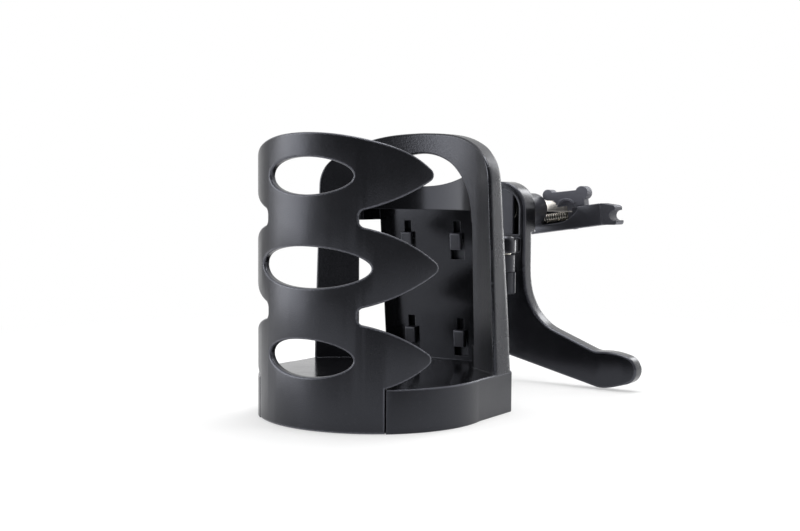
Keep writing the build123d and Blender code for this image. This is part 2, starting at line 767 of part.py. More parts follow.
leg_rear = leg_front + leg_thickness
head_rear = leg_front + head_depth
web_front = head_rear - head_web
with BuildPart() as support_leg:
    with BuildSketch(Plane.XZ.offset(-leg_front)):
        add(leg_outline.sketch)
    extrude(amount=-leg_thickness)
    fillet(faces().sort_by(Axis.Y)[0].edges(), leg_edge_round)
    # Rear hollow with cross ribs
    with BuildSketch(Plane.XZ.offset(-leg_rear)):
        with BuildLine():
            leg_edge(leg_rim)
        make_face()
        fillet(vertices().group_by(Axis.X)[0].sort_by(Axis.Y)[0], heel_round - leg_rim)
        with Locations((0, head_foot - leg_rim)):
            Rectangle(far, far, align=(Align.CENTER, Align.MIN), mode=Mode.SUBTRACT)
        with Locations(*[(0, height) for height in leg_rib_heights]):
            Rectangle(2 * leg_half_width, leg_rib_thickness, mode=Mode.SUBTRACT)
        with Locations(*[(place, 0) for place in foot_rib_places]):
            Rectangle(leg_rib_thickness, 2 * head_foot, mode=Mode.SUBTRACT)
    extrude(amount=leg_thickness - leg_skin, mode=Mode.SUBTRACT)
    # Thick round head
    with BuildSketch(Plane.XZ.offset(-leg_front - leg_skin)):
        add(leg_outline.sketch)
        with Locations((0, head_foot)):
            Rectangle(far, far, align=(Align.CENTER, Align.MIN), mode=Mode.INTERSECT)
    extrude(amount=leg_skin - head_depth)
    with BuildSketch(Plane.XZ.offset(-leg_front)):
        add(pocket_outline.sketch)
    extrude(amount=head_web - head_depth, mode=Mode.SUBTRACT)
    with Locations(Plane.XZ.offset(-leg_front)):
        with Locations((0, head_height)):
            Cylinder(stem_radius + running_gap, far, mode=Mode.SUBTRACT)
    # Hinge ear
    with BuildPart(mode=Mode.PRIVATE) as ear:
        with BuildSketch(Plane.XY.offset(ear_low)):
            with Locations((hinge_x, hinge_y)):
                Circle(ear_radius)
        extrude(amount=ear_height)
        fillet(faces().sort_by(Axis.Z)[-1].edges(), ear_dome)
        with BuildSketch(Plane.XY.offset(ear_low)):
            with Locations((hinge_x, hinge_y)):
                Rectangle(ear_web_width, leg_front + leg_skin - hinge_y, align=(Align.CENTER, Align.MIN))
        extrude(amount=ear_height - ear_web_drop)
    add(ear.part)
    with Locations((hinge_x, hinge_y, ear_top)):
        Cylinder(
            bolt_head_radius + sliding_gap,
            2 * (bolt_head_height + bolt_head_sink),
            mode=Mode.SUBTRACT,
        )
        Cylinder(hinge_bolt_radius + running_gap, 3 * ear_height, mode=Mode.SUBTRACT)
support_leg.part.label = "support_leg"
export_step(support_leg.part, "parts/support_leg.step")

# Cap in the front of the head
with BuildPart() as head_cap:
    with BuildSketch(Plane.XZ.offset(-leg_front)):
        add(pocket_outline.sketch)
        offset(amount=-seat_gap, mode=Mode.REPLACE)
        with Locations((0, head_height)):
            Rectangle(2 * cap_half_width, far, mode=Mode.INTERSECT)
    extrude(amount=-cap_thickness)
head_cap.part.label = "head_cap"
export_step(head_cap.part, "parts/head_cap.step")

# Washer and screw that hold the clip's stem
stem_front = web_front - stem_proud
with BuildPart() as pivot_washer:
    with BuildSketch(Plane.XZ.offset(-stem_front + seat_gap)):
        with Locations((0, head_height)):
            Circle(pivot_washer_radius)
            Circle(pivot_screw_radius + running_gap, mode=Mode.SUBTRACT)
    extrude(amount=pivot_washer_thickness)
pivot_washer.part.label = "pivot_washer"
export_step(pivot_washer.part, "parts/pivot_washer.step")

screw_seat = stem_front - 2 * seat_gap - pivot_washer_thickness
with BuildPart() as pivot_screw:
    with BuildSketch(Plane.XZ.offset(-screw_seat)):
        with Locations((0, head_height)):
            Circle(pivot_head_radius)
    extrude(amount=pivot_head_height)
    with BuildSketch(Plane.XZ.offset(-screw_seat)):
        with Locations((0, head_height)):
            Circle(pivot_screw_radius)
    extrude(amount=-pivot_screw_length)
pivot_screw.part.label = "pivot_screw"
export_step(pivot_screw.part, "parts/pivot_screw.step")

# Fixed jaw with boss and stem
jaw_middle = boss_rear + jaw_depth / 2
slot_half = lever_tongue_thickness / 2 + tongue_side_gap
with BuildPart() as fixed_jaw:
    with BuildSketch(clip_plane(stem_front)):
        Circle(stem_radius)
    extrude(amount=stem_front - head_rear - sliding_gap)
    with BuildSketch(clip_plane(head_rear + sliding_gap)):
        Circle(boss_radius)
    extrude(amount=head_rear + sliding_gap - boss_rear)
    with BuildSketch(clip_plane(boss_rear)):
        with BuildLine():
            Polyline(
                (jaw_root_left, jaw_low),
                (jaw_end, jaw_low),
                (jaw_end, jaw_high),
                (jaw_solid_start, jaw_high),
                (jaw_solid_start, jaw_low + jaw_flange_height),
                (jaw_root_right, jaw_low + jaw_flange_height),
                (jaw_root_right, jaw_root_high),
                (jaw_root_left, jaw_root_high),
                close=True,
            )
        make_face()
        fillet(vertices(), jaw_edge_round)
    extrude(amount=-jaw_depth)
    # Stub for the boot, slot for the lever's tongue, pin hole and spring peg
    with BuildSketch(clip_plane(boss_rear + jaw_stub_inset)):
        with Locations((jaw_end - jaw_stub_inset, (jaw_low + jaw_high) / 2)):
            Rectangle(
                jaw_stub_length + jaw_stub_inset,
                jaw_high - jaw_low - 2 * jaw_stub_inset,
                align=(Align.MIN, Align.CENTER),
            )
    extrude(amount=2 * jaw_stub_inset - jaw_depth)
    with BuildSketch(clip_plane(jaw_middle - slot_half)):
        with Locations((lever_pin_place[0], 0)):
            Rectangle(lever_tongue_width + 2 * tongue_end_gap, far, mode=Mode.ADD)
    extrude(amount=-2 * slot_half, mode=Mode.SUBTRACT)
    with BuildSketch(clip_plane(boss_rear)):
        with Locations(lever_pin_place):
            Circle(lever_pin_radius + running_gap)
    extrude(amount=-jaw_depth, mode=Mode.SUBTRACT)
    with Locations(clip_plane(jaw_middle)):
        with Locations(Location((jaw_root_right, grip_spring_height, 0), (0, 90, 0))):
            Cylinder(grip_peg_radius, 2 * grip_peg_length)
    with BuildSketch(clip_plane(stem_front)):
        Circle(pivot_screw_radius + running_gap)
    extrude(amount=-pivot_screw_length, mode=Mode.SUBTRACT)
fixed_jaw.part.label = "fixed_jaw"
export_step(fixed_jaw.part, "parts/fixed_jaw.step")

# Soft boot on the jaw's tip
boot_start = jaw_end + seat_gap
with BuildPart() as jaw_boot:
    with BuildSketch(clip_plane(boss_rear - boot_side)):
        with BuildLine():
            Polyline(
                (boot_start, jaw_low - boot_side),
                (boot_start + boot_length, boot_end_low),
                (boot_start + boot_length, boot_end_high),
                (boot_start, jaw_high + boot_side),
                close=True,
            )
        make_face()
        fillet(vertices().group_by(Axis.X)[-1], boot_round)
        with Locations((boot_start + boot_length, (boot_end_low + boot_end_high) / 2)):
            SlotOverall(2 * notch_depth + notch_height / 2, notch_height, mode=Mode.SUBTRACT)
    extrude(amount=-jaw_depth - 2 * boot_side)
    with BuildSketch(clip_plane(boss_rear - boot_side - boot_lip_proud)):
        with Locations((boot_start, (jaw_low + jaw_high) / 2)):
            Rectangle(
                boot_lip,
                jaw_high - jaw_low + 2 * (boot_side + boot_lip_proud),
                align=(Align.MIN, Align.CENTER),
            )
    extrude(amount=-jaw_depth - 2 * (boot_side + boot_lip_proud))
    with BuildSketch(clip_plane(boss_rear + jaw_stub_inset - seat_gap)):
        with Locations((jaw_end, (jaw_low + jaw_high) / 2)):
            Rectangle(
                jaw_stub_length + seat_gap,
                jaw_high - jaw_low - 2 * (jaw_stub_inset - seat_gap),
                align=(Align.MIN, Align.CENTER),
            )
    extrude(amount=2 * (jaw_stub_inset - seat_gap) - jaw_depth, mode=Mode.SUBTRACT)
jaw_boot.part.label = "jaw_boot"
export_step(jaw_boot.part, "parts/jaw_boot.step")

# Grip lever: thumb lobe, nose lobe, arch and tongue
with BuildPart() as grip_lever:
    with BuildSketch(clip_plane(jaw_middle - lever_thickness / 2)):
        with BuildLine():
            Polyline(
                (thumb_lobe[0], thumb_lobe[1] + thumb_lobe_radius - lever_waist),
                (nose_lobe[0], nose_lobe[1] + nose_lobe_radius - lever_waist),
                (nose_lobe[0], lever_bar_low),
                (lever_arch_center[0] + lever_arch_radius, jaw_high + lever_bite),
                (lever_arch_center[0], jaw_high + lever_bite),
                (lever_arch_center[0] - lever_arch_radius, lever_bar_low),
                (thumb_lobe[0], thumb_lobe[1] - thumb_lobe_radius + lever_waist),
                close=True,
            )
        make_face()
        with Locations(thumb_lobe):
            Circle(thumb_lobe_radius)
        with Locations(nose_lobe):
            Circle(nose_lobe_radius)
        with Locations((nose_lobe[0] - nose_neck_offset - nose_width / 2, jaw_high + lever_bite)):
            Rectangle(nose_width, nose_lobe[1] - jaw_high - lever_bite, align=(Align.MIN, Align.MIN))
        with Locations(lever_arch_center):
            Circle(lever_arch_radius, mode=Mode.SUBTRACT)
    extrude(amount=-lever_thickness)
    # Raised lip over the arch
    with BuildSketch(clip_plane(jaw_middle - lever_thickness / 2 - lever_lip_proud)):
        with Locations(lever_arch_center):
            Circle(lever_arch_radius + lever_lip)
            Circle(lever_arch_radius, mode=Mode.SUBTRACT)
        with Locations((lever_arch_center[0], lever_bar_low - lever_lip)):
            Rectangle(far, far, align=(Align.CENTER, Align.MIN), mode=Mode.INTERSECT)
    extrude(amount=-lever_lip_proud - lever_thickness)
    # Thin web that closes the arch
    with BuildSketch(clip_plane(jaw_middle - lever_tongue_thickness / 2)):
        with Locations(lever_arch_center):
            Circle(lever_arch_radius + lever_lip)
        with Locations((lever_arch_center[0], jaw_high + lever_web_lift)):
            Rectangle(far, far, align=(Align.CENTER, Align.MIN), mode=Mode.INTERSECT)
    extrude(amount=-lever_tongue_thickness)
    # Tongue that goes down into the jaw, with the pin's barrel
    with BuildSketch(clip_plane(jaw_middle - lever_tongue_thickness / 2)):
        with Locations((lever_pin_place[0], lever_pin_place[1])):
            Circle(lever_barrel_radius)
            Rectangle(
                lever_tongue_width,
                lever_arch_center[1] + lever_arch_radius + lever_lip - lever_pin_place[1],
                align=(Align.CENTER, Align.MIN),
            )
            Circle(lever_pin_radius + running_gap, mode=Mode.SUBTRACT)
    extrude(amount=-lever_tongue_thickness)
grip_lever.part.label = "grip_lever"
export_step(grip_lever.part, "parts/grip_lever.step")

# Pin of the lever
with BuildPart() as lever_pin:
    with BuildSketch(clip_plane(boss_rear)):
        with Locations(lever_pin_place):
            Circle(lever_pin_radius)
    extrude(amount=-jaw_depth)
lever_pin.part.label = "lever_pin"
export_step(lever_pin.part, "parts/lever_pin.step")

# Spring that presses the lever's nose down
grip_start = jaw_root_right + seat_gap + grip_wire_radius
grip_length = lever_pin_place[0] - lever_tongue_width / 2 - seat_gap - grip_wire_radius - grip_start
with BuildPart() as grip_spring:
    grip_place = clip_plane(jaw_middle)
    coil_axis = grip_place.x_dir
    coil_center = grip_place.from_local_coords((grip_start, grip_spring_height, 0))
    with BuildLine():
        grip_coil = Helix(grip_length / grip_turns, grip_length, grip_coil_radius, coil_center, coil_axis)
    with BuildSketch(Plane(origin=grip_coil @ 0, z_dir=grip_coil % 0)):
        Circle(grip_wire_radius)
    sweep(is_frenet=True)
grip_spring.part.label = "grip_spring"
export_step(grip_spring.part, "parts/grip_spring.step")
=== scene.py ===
import json
from math import cos, hypot, radians, sin

import bmesh
import bpy
from mathutils import Matrix, Vector


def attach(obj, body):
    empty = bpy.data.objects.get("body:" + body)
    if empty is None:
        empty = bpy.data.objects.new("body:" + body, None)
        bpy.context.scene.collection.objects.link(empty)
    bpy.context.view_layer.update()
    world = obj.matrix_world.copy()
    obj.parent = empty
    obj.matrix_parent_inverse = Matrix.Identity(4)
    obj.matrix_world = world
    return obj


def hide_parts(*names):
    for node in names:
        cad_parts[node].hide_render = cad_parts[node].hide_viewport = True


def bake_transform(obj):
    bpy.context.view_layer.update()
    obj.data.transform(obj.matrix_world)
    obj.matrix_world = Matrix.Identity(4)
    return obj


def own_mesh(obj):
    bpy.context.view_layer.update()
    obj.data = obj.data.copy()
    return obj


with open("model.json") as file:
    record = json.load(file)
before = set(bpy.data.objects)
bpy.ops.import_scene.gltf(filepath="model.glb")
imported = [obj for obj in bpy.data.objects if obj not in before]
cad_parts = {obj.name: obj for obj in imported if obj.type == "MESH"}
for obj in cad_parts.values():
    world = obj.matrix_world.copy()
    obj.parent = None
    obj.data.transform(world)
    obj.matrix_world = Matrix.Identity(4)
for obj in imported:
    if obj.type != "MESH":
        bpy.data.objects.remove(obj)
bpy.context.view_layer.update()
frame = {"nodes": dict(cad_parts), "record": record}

nodes = frame["nodes"]
scene = bpy.context.scene
scene.view_settings.view_transform = "Standard"

MM = 0.001


# Helpers for shader nodes

def feed(tree, socket, value):
    """Links a socket to another one, or sets it to a plain value."""
    if isinstance(value, bpy.types.NodeSocket):
        tree.links.new(value, socket)
    else:
        socket.default_value = value


def new_group(name, inputs, outputs):
    """A shader node group with named sockets."""
    group = bpy.data.node_groups.new(name, "ShaderNodeTree")
    for label, kind, value in inputs:
        socket = group.interface.new_socket(label, in_out="INPUT", socket_type=kind)
        socket.default_value = value
    for label, kind in outputs:
        group.interface.new_socket(label, in_out="OUTPUT", socket_type=kind)
    return group, group.nodes.new("NodeGroupInput"), group.nodes.new("NodeGroupOutput")


def math_node(tree, operation, a, b, clamp=False):
    """A math node whose two inputs are sockets or numbers."""
    node = tree.nodes.new("ShaderNodeMath")
    node.operation = operation
    node.use_clamp = clamp
    feed(tree, node.inputs[0], a)
    feed(tree, node.inputs[1], b)
    return node.outputs[0]


def dot_product(tree, a, b):
    """The dot product of two vectors."""
    node = tree.nodes.new("ShaderNodeVectorMath")
    node.operation = "DOT_PRODUCT"
    feed(tree, node.inputs[0], a)
    feed(tree, node.inputs[1], b)
    return node.outputs["Value"]


def noise(tree, place, scale, detail=2.0, roughness=0.5):
    """A noise texture's value."""
    node = tree.nodes.new("ShaderNodeTexNoise")
    tree.links.new(place, node.inputs["Vector"])
    feed(tree, node.inputs["Scale"], scale)
    node.inputs["Detail"].default_value = detail
    node.inputs["Roughness"].default_value = roughness
    return node.outputs["Fac"]


def map_range(tree, value, low, high, to_low, to_high, kind="SMOOTHSTEP"):
    """Carries a value from one range to another."""
    node = tree.nodes.new("ShaderNodeMapRange")
    node.interpolation_type = kind
    tree.links.new(value, node.inputs["Value"])
    node.inputs["From Min"].default_value = low
    node.inputs["From Max"].default_value = high
    node.inputs["To Min"].default_value = to_low
    node.inputs["To Max"].default_value = to_high
    return node.outputs["Result"]


def mix_color(tree, factor, a, b):
    """A mix of two colours or sockets."""
    node = tree.nodes.new("ShaderNodeMix")
    node.data_type = "RGBA"
    tree.links.new(factor, node.inputs["Factor"])
    feed(tree, node.inputs[6], a)
    feed(tree, node.inputs[7], b)
    return node.outputs[2]


def mix_shaders(tree, factor, a, b, out):
    """Sends a mix of two shaders to an output node."""
    blend = tree.nodes.new("ShaderNodeMixShader")
    tree.links.new(factor, blend.inputs["Fac"])
    tree.links.new(a, blend.inputs[1])
    tree.links.new(b, blend.inputs[2])
    tree.links.new(blend.outputs["Shader"], out.inputs["Surface"])


# Node groups

def make_grain():
    """Moulded grain: a height of fine pits over a slow mottle, from object coordinates."""
    group, gin, gout = new_group(
        "MouldedGrain",
        [("Scale", "NodeSocketFloat", 2400.0), ("Slow Scale", "NodeSocketFloat", 90.0)],
        [("Height", "NodeSocketFloat"), ("Mottle", "NodeSocketFloat")],
    )
    place = group.nodes.new("ShaderNodeTexCoord").outputs["Object"]
    pits = group.nodes.new("ShaderNodeTexVoronoi")
    pits.feature = "SMOOTH_F1"
    pits.inputs["Smoothness"].default_value = 0.6
    group.links.new(place, pits.inputs["Vector"])
    group.links.new(gin.outputs["Scale"], pits.inputs["Scale"])
    fine = noise(group, place, gin.outputs["Scale"], detail=3.0, roughness=0.65)
    slow = noise(group, place, gin.outputs["Slow Scale"], detail=4.0, roughness=0.55)
    height = math_node(
        group, "ADD",
        math_node(group, "MULTIPLY", pits.outputs["Distance"], 0.6),
        math_node(group, "MULTIPLY", fine, 0.4),
    )
    group.links.new(height, gout.inputs["Height"])
    group.links.new(slow, gout.inputs["Mottle"])
    return group


def make_edges():
    """Rounded edges: a softened normal and a mask of where an edge is."""
    group, gin, gout = new_group(
        "SoftEdges",
        [("Radius", "NodeSocketFloat", 0.0004)],
        [("Normal", "NodeSocketVector"), ("Edge", "NodeSocketFloat")],
    )
    bevel = group.nodes.new("ShaderNodeBevel")
    bevel.samples = 6
    group.links.new(gin.outputs["Radius"], bevel.inputs["Radius"])
    plain = group.nodes.new("ShaderNodeNewGeometry").outputs["Normal"]
    away = math_node(group, "SUBTRACT", 1.0, dot_product(group, bevel.outputs["Normal"], plain))
    group.links.new(bevel.outputs["Normal"], gout.inputs["Normal"])
    group.links.new(math_node(group, "MULTIPLY", away, 5.0, clamp=True), gout.inputs["Edge"])
    return group


def make_scuffs():
    """Fine hairline scuffs as a mask."""
    group, gin, gout = new_group(
        "HairlineScuffs",
        [("Amount", "NodeSocketFloat", 0.5)],
        [("Mask", "NodeSocketFloat")],
    )
    stretch = group.nodes.new("ShaderNodeMapping")
    stretch.inputs["Rotation"].default_value = (0.5, 0.3, 0.7)
    stretch.inputs["Scale"].default_value = (260.0, 18.0, 260.0)
    place = group.nodes.new("ShaderNodeTexCoord").outputs["Object"]
    group.links.new(place, stretch.inputs["Vector"])
    lines = noise(group, stretch.outputs["Vector"], 4.0, detail=5.0)
    sparse = map_range(group, lines, 0.62, 0.78, 0.0, 1.0, kind="LINEAR")
    mask = math_node(group, "MULTIPLY", sparse, gin.outputs["Amount"])
    group.links.new(mask, gout.inputs["Mask"])
    return group


grain_group = make_grain()
edge_group = make_edges()
scuff_group = make_scuffs()


# Materials

def group_node(tree, group, **values):
    """A group node with its inputs set."""
    node = tree.nodes.new("ShaderNodeGroup")
    node.node_tree = group
    for label, value in values.items():
        node.inputs[label.replace("_", " ")].default_value = value
    return node


def new_material(name):
    """A material with a Principled shader on its output."""
    material = bpy.data.materials.new(name)
    material.use_nodes = True
    tree = material.node_tree
    tree.nodes.clear()
    out = tree.nodes.new("ShaderNodeOutputMaterial")
    shader = tree.nodes.new("ShaderNodeBsdfPrincipled")
    tree.links.new(shader.outputs["BSDF"], out.inputs["Surface"])
    return material, tree, shader, out


def add_bump(tree, shader, grain, edges, strength, distance):
    """Gives a shader the grain's relief over the softened edges."""
    bump = tree.nodes.new("ShaderNodeBump")
    bump.inputs["Strength"].default_value = strength
    bump.inputs["Distance"].default_value = distance
    tree.links.new(grain.outputs["Height"], bump.inputs["Height"])
    tree.links.new(edges.outputs["Normal"], bump.inputs["Normal"])
    tree.links.new(bump.outputs["Normal"], shader.inputs["Normal"])


def varied(tree, grain, middle, amount, clamp=False):
    """A value that the grain's mottle moves about its middle."""
    offset = math_node(tree, "SUBTRACT", grain.outputs["Mottle"], 0.5)
    return math_node(tree, "ADD", math_node(tree, "MULTIPLY", offset, amount), middle, clamp=clamp)


def tone(value):
    """A near-black with a slight cool cast."""
    return (value * 0.95, value * 0.97, value * 1.14, 1.0)


def plastic(name, tones, rough, pit_scale, pit_depth, edge_radius, highlight_and_scuff_tone, scuffs, specular=0.56):
    """Moulded plastic with grain, mottle, painted highlights along its edges, and hairlines."""
    material, tree, shader, _ = new_material(name)
    grain = group_node(tree, grain_group, Scale=pit_scale, Slow_Scale=110.0)
    edges = group_node(tree, edge_group, Radius=edge_radius * MM)
    hair = group_node(tree, scuff_group, Amount=scuffs).outputs["Mask"]
    mottle = grain.outputs["Mottle"]

    # Painted highlight where an edge is sharp or a narrow round is marked, in patches; the same mask
    # makes these edges glossier
    round_attribute = tree.nodes.new("ShaderNodeAttribute")
    round_attribute.attribute_name = "highlit_round"
    edge = math_node(tree, "MAXIMUM", edges.outputs["Edge"], round_attribute.outputs["Fac"])
    patchy = math_node(tree, "ADD", math_node(tree, "MULTIPLY", mottle, 1.1), 0.3, clamp=True)
    edge_sheen = math_node(tree, "MULTIPLY", edge, patchy, clamp=True)

    shade = mix_color(tree, mottle, tone(tones[0]), tone(tones[1]))
    shade = mix_color(tree, edge_sheen, shade, tone(highlight_and_scuff_tone))
    shade = mix_color(tree, math_node(tree, "MULTIPLY", hair, 0.25), shade, tone(highlight_and_scuff_tone))
    tree.links.new(shade, shader.inputs["Base Color"])

    polish = math_node(tree, "MULTIPLY", edge_sheen, 0.14)
    value = math_node(tree, "SUBTRACT", varied(tree, grain, rough, 0.16), polish)
    value = math_node(tree, "ADD", value, math_node(tree, "MULTIPLY", hair, 0.1), clamp=True)
    tree.links.new(value, shader.inputs["Roughness"])
    shader.inputs["Specular IOR Level"].default_value = specular
    shader.inputs["Specular Tint"].default_value = (0.84, 0.87, 1.0, 1.0)
    add_bump(tree, shader, grain, edges, pit_depth, 0.2 * MM)
    return material


def steel(name, color, rough, brushed):
    """Bright steel with fine pits and duller patches."""
    material, tree, shader, _ = new_material(name)
    shader.inputs["Metallic"].default_value = 1.0
    grain = group_node(tree, grain_group, Scale=1500.0, Slow_Scale=300.0)
    edges = group_node(tree, edge_group, Radius=0.2 * MM)
    dull = tuple(c * 0.72 for c in color)
    shade = mix_color(tree, grain.outputs["Mottle"], dull + (1.0,), color + (1.0,))
    tree.links.new(shade, shader.inputs["Base Color"])
    tree.links.new(varied(tree, grain, rough, 0.2, clamp=True), shader.inputs["Roughness"])
    add_bump(tree, shader, grain, edges, brushed, 0.05 * MM)
    return material


# Tones, roughness, scale and depth of the pits, edge radius (mm), tone of the painted edge highlight
# (also the scuffs' tone) and scuffs
satin = plastic("satin_black", (0.0050, 0.0078), 0.33, 2300.0, 0.20, 0.6, 0.085, 0.5)
grained = plastic("grained_black", (0.0062, 0.0095), 0.38, 1600.0, 0.50, 0.4, 0.030, 0.4)
side_black = plastic("side_black", (0.0060, 0.0090), 0.28, 1600.0, 0.30, 2.6, 0.030, 0.4, specular=0.48)
edge_black = plastic("edge_black", (0.0050, 0.0070), 0.14, 1600.0, 0.03, 0.2, 0.030, 0.2)
polished = plastic("polished_black", (0.0030, 0.0044), 0.15, 1500.0, 0.03, 0.4, 0.045, 0.7, specular=0.42)
band_black = plastic("band_black", (0.0030, 0.0044), 0.15, 1500.0, 0.03, 0.4, 0.045, 0.7, specular=0.26)
floor_black = plastic("floor_black", (0.0045, 0.0060), 0.16, 1800.0, 0.04, 0.4, 0.050, 0.8)
matte = plastic("matte_black", (0.0120, 0.0175), 0.44, 2400.0, 0.25, 0.5, 0.080, 0.4)
leg_black = plastic("leg_black", (0.0022, 0.0034), 0.22, 2200.0, 0.08, 1.1, 0.060, 0.5)
# Painted highlight: the head cap is a much lighter copy of the leg's black, for the top light falling on
# the head
lit_cap_black = plastic("lit_cap_black", (0.0200, 0.0290), 0.42, 2200.0, 0.12, 0.6, 0.080, 0.4)
jaw_black = plastic("jaw_black", (0.0300, 0.0400), 0.37, 2200.0, 0.22, 0.7, 0.130, 0.4)
grip_grey = plastic("grip_grey", (0.105, 0.135), 0.50, 2000.0, 0.30, 0.5, 0.260, 0.4)
rubber = plastic("soft_rubber", (0.046, 0.062), 0.58, 1500.0, 0.30, 0.6, 0.140, 0.3, specular=0.4)

# Colour, roughness and depth of the drawn lines
bright = steel("bright_steel", (0.78, 0.74, 0.66), 0.22, 0.25)
plated = steel("plated_sheet", (0.76, 0.73, 0.68), 0.40, 0.30)
# Painted light: the spring's steel is paler than bright_steel, standing in for the light that the cavity
# around it keeps off
lit_spring_wire = steel("lit_spring_wire", (0.95, 0.91, 0.82), 0.24, 0.15)
dull_steel = steel("dull_steel", (0.5, 0.5, 0.5), 0.36, 0.35)

finish = {
    "holder_body": grained,
    "front_shell": satin,
    "base_cover": matte,
    "cover_screws": dull_steel,
    "return_spring_left": bright,
    "return_spring_right": bright,
    "claw_plate": matte,
    "hinge_bolt": dull_steel,
    "hinge_washer": bright,
    "thumb_nut": matte,
    "support_leg": leg_black,
    "head_cap": lit_cap_black,
    "pivot_screw": dull_steel,
    "pivot_washer": bright,
    "fixed_jaw": jaw_black,
    "jaw_boot": rubber,
    "grip_lever": grip_grey,
    "lever_pin": bright,
    "grip_spring": lit_spring_wire,
}
body_of = {n: b for b, members in frame["record"]["behaviour"]["bodies"].items() for n in members}


# Surfaces of the CAD nodes

def shade_smooth(work, crease):
    """Shades all faces smoothly, with edges kept sharp from a crease angle in degrees."""
    for face in work.faces:
        face.smooth = True
    for edge in work.edges:
        if len(edge.link_faces) == 2:
            edge.smooth = edge.calc_face_angle(0.0) < radians(crease)


def mark_highlit_rounds(work):
    """Marks the narrow rounds along outer edges, where a highlight is painted."""
    widest = 1.3 * MM
    layer = work.faces.layers.float.new("highlit_round")
    for edge in work.edges:
        if len(edge.link_faces) != 2 or not edge.is_convex:
            continue
        bend = edge.calc_face_angle(0.0)
        if not radians(3) < bend < radians(40):
            continue
        for face in edge.link_faces:
            width = 2 * face.calc_area() / edge.calc_length()
            if width / bend < widest:
                face[layer] = 1.0


def add_piece(work, name, material):
    """Turns finished work into an object at the origin."""
    mesh = bpy.data.meshes.new(name)
    work.to_mesh(mesh)
    work.free()
    mesh.materials.append(material)
    piece = bpy.data.objects.new(name, mesh)
    scene.collection.objects.link(piece)
    return piece


def refine(name, shape=None):
    """Stands for a CAD node with a welded, smoothly shaded copy of it."""
    work = bmesh.new()
    work.from_mesh(nodes[name].data)
    bmesh.ops.remove_doubles(work, verts=work.verts, dist=2e-6)
    if shape:
        shape(work)
    shade_smooth(work, 28)
    mark_highlit_rounds(work)
    piece = add_piece(work, name + "_surface", finish[name])
    if name in ("return_spring_left", "return_spring_right"):
        # The shell draws one end of the coil out, the post in the base holds the other
        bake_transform(piece)
    else:
        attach(piece, body_of[name])
    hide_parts(name)
    return piece


# The clip's own axes, turned about the pivot
clip_turn = radians(8.0)
pivot_height = 72.0


def clip_place(along, rise, depth):
    """A point of the clip, from millimetres along and across its jaw."""
    return Vector((
        (along * cos(clip_turn) - rise * sin(clip_turn)) * MM,
        depth * MM,
        (pivot_height + along * sin(clip_turn) + rise * cos(clip_turn)) * MM,
    ))


def level(along, height):
    """A point of the jaw's face at a height over the ground."""
    return along, (height - pivot_height - along * sin(clip_turn)) / cos(clip_turn)


def flush_boot(work):
    """Draws the boot in until it lies flush with the jaw."""
    boot_start, boot_length = 32.0, 6.4
    jaw_front, jaw_rear = 125.0, 133.0
    for vert in work.verts:
        x, z = vert.co.x / MM, vert.co.z / MM - pivot_height
        along = x * cos(clip_turn) + z * sin(clip_turn)
        rise = z * cos(clip_turn) - x * sin(clip_turn)
        share = (along - boot_start) / boot_length
        rise = min(max(rise, -10.9 - 0.8 * share), -1.6 - 1.8 * share)
        depth = min(max(vert.co.y / MM, jaw_front), jaw_rear)
        vert.co = clip_place(along, rise, depth)
    bmesh.ops.dissolve_degenerate(work, dist=2e-6, edges=work.edges)


def sunk_pin(work):
    """Sinks the pin's near end behind the jaw's face."""
    nearest = 125.9 * MM
    for vert in work.verts:
        vert.co.y = max(vert.co.y, nearest)


# The frame's arch: round above its centre, with nearly upright sides below
arch_centre = 69.7
floor_height = 14.7


def ease(value, low, high):
    """A smooth step from 0 at low to 1 at high."""
    share = min(max((value - low) / (high - low), 0.0), 1.0)
    return share * share * (3.0 - 2.0 * share)


def drawn_frame(work):
    """Draws the frame's sides in towards the top and fills out its upper corners."""
    start, full = 25.0, 82.0
    front_draw, rear_draw = 1.0, 0.5
    corner_lift = 1.3
    for vert in work.verts:
        x, y, z = abs(vert.co.x) / MM, vert.co.y / MM, vert.co.z / MM
        if z < start:
            continue
        draw = front_draw + rear_draw * ease(y, 19.0, 26.0)
        draw *= min((z - start) / (full - start), 1.0) * ease(x, 27.0, 36.0)
        outer = ease(hypot(x, z - arch_centre), 26.0, 30.0)
        lift = corner_lift * outer * ease(x, 2.0, 24.0) * ease(z, 80.0, 90.0)
        vert.co.x -= draw * MM if vert.co.x > 0 else -draw * MM
        vert.co.z += lift * MM


shapes = {"holder_body": drawn_frame, "jaw_boot": flush_boot, "lever_pin": sunk_pin}
pieces = {name: refine(name, shapes.get(name)) for name in nodes}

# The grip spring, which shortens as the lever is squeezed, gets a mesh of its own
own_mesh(pieces["grip_spring"])


# Thin plates of the clip

def clip_plate(name, corners, near, far, rounding, material, lean=0.0):
    """A plate of the clip: an outline drawn on the jaw's face and extruded in depth."""
    work = bmesh.new()
    face = work.faces.new([work.verts.new(clip_place(u, v, near)) for u, v in corners])
    grown = bmesh.ops.extrude_face_region(work, geom=[face])
    moved = [item for item in grown["geom"] if isinstance(item, bmesh.types.BMVert)]
    bmesh.ops.translate(work, verts=moved, vec=(0, (far - near) * MM, 0))
    if lean:
        foot = min(vert.co.z for vert in work.verts)
        for vert in work.verts:
            vert.co.y += lean * (vert.co.z - foot)
    bmesh.ops.recalc_face_normals(work, faces=work.faces)
    if rounding:
        sharp = [edge for edge in work.edges if edge.calc_face_angle(0.0) > radians(50)]
        bmesh.ops.bevel(
            work, geom=sharp, offset=rounding * MM, offset_type="OFFSET", segments=2,
            profile=0.5, affect="EDGES", material=-1, clamp_overlap=True,
        )
    shade_smooth(work, 35)
    mark_highlit_rounds(work)
    piece = add_piece(work, name, material)
    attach(piece, "clip")


